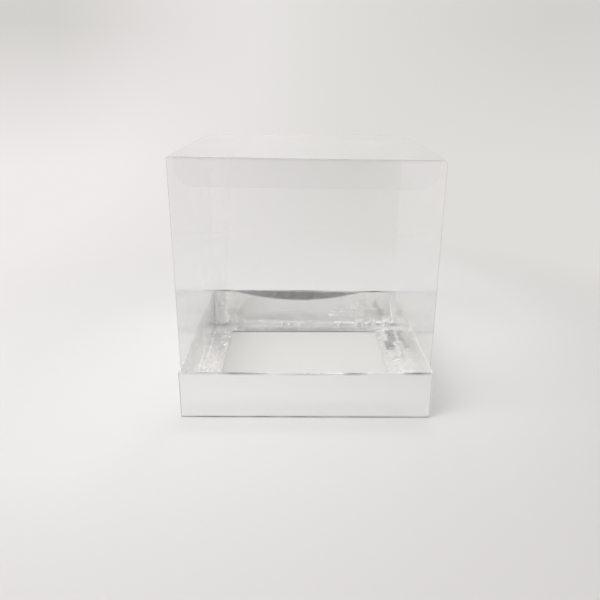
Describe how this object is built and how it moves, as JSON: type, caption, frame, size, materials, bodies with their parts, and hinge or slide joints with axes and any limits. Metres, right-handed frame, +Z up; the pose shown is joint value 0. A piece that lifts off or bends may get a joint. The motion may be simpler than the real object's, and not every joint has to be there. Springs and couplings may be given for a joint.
{
  "type": "clear folding gift box",
  "caption": "Square gift box: a clear folded film cover with a tuck-in lid, standing in a shallow tray of silver-faced card.",
  "frame": {"origin": "on the ground at the middle of the tray's footprint", "axes": "+Z up, -Y towards the front panel, where the tuck flap closes, +X to the right seen from the front"},
  "size_m": [0.15, 0.15, 0.1538],
  "materials": {
    "silver_card": "gloss",
    "white_card": "matte",
    "clear_film": "polished"
  },
  "bodies": {
    "tray": {"tray_floor": "white_card", "tray_front_wall": "silver_card", "tray_front_rim": "silver_card", "tray_front_lining": "silver_card", "tray_front_foot": "silver_card", "tray_right_wall": "silver_card", "tray_right_rim": "silver_card", "tray_right_lining": "silver_card", "tray_right_foot": "silver_card", "tray_back_wall": "silver_card", "tray_back_rim": "silver_card", "tray_back_lining": "silver_card", "tray_back_foot": "silver_card", "tray_left_wall": "silver_card", "tray_left_rim": "silver_card", "tray_left_lining": "silver_card", "tray_left_foot": "silver_card", "tray_front_left_tab": "silver_card", "tray_front_right_tab": "silver_card", "tray_back_left_tab": "silver_card", "tray_back_right_tab": "silver_card"},
    "cover": {"cover_front": "clear_film", "cover_back": "clear_film", "cover_left": "clear_film", "cover_right": "clear_film", "cover_seam_flap": "clear_film"},
    "lid": {"lid": "clear_film"},
    "tuck": {"tuck_flap": "clear_film"},
    "dust_left": {"dust_flap_left": "clear_film"},
    "dust_right": {"dust_flap_right": "clear_film"}
  },
  "joints": [
    {"name": "cover_lift", "type": "slide", "parent": "tray", "child": "cover", "axis": [0, 0, 1], "range_m": [0, 0.045]},
    {"name": "lid_hinge", "type": "hinge", "parent": "cover", "child": "lid", "pos_m": [0, 0.0739, 0.1538], "axis": [-1, 0, 0], "range_deg": [0, 180]},
    {"name": "tuck_fold", "type": "hinge", "parent": "lid", "child": "tuck", "pos_m": [0, -0.073, 0.1532], "axis": [1, 0, 0], "range_deg": [0, 75]},
    {"name": "dust_left_hinge", "type": "hinge", "parent": "cover", "child": "dust_left", "pos_m": [-0.0729, 0, 0.1532], "axis": [0, -1, 0], "range_deg": [0, 90]},
    {"name": "dust_right_hinge", "type": "hinge", "parent": "cover", "child": "dust_right", "pos_m": [0.0729, 0, 0.1532], "axis": [0, 1, 0], "range_deg": [0, 90]}
  ],
  "couplings": [
    {"joint": "dust_left_hinge", "follows": "lid_hinge", "ratio": 0.5},
    {"joint": "dust_right_hinge", "follows": "lid_hinge", "ratio": 0.5}
  ]
}
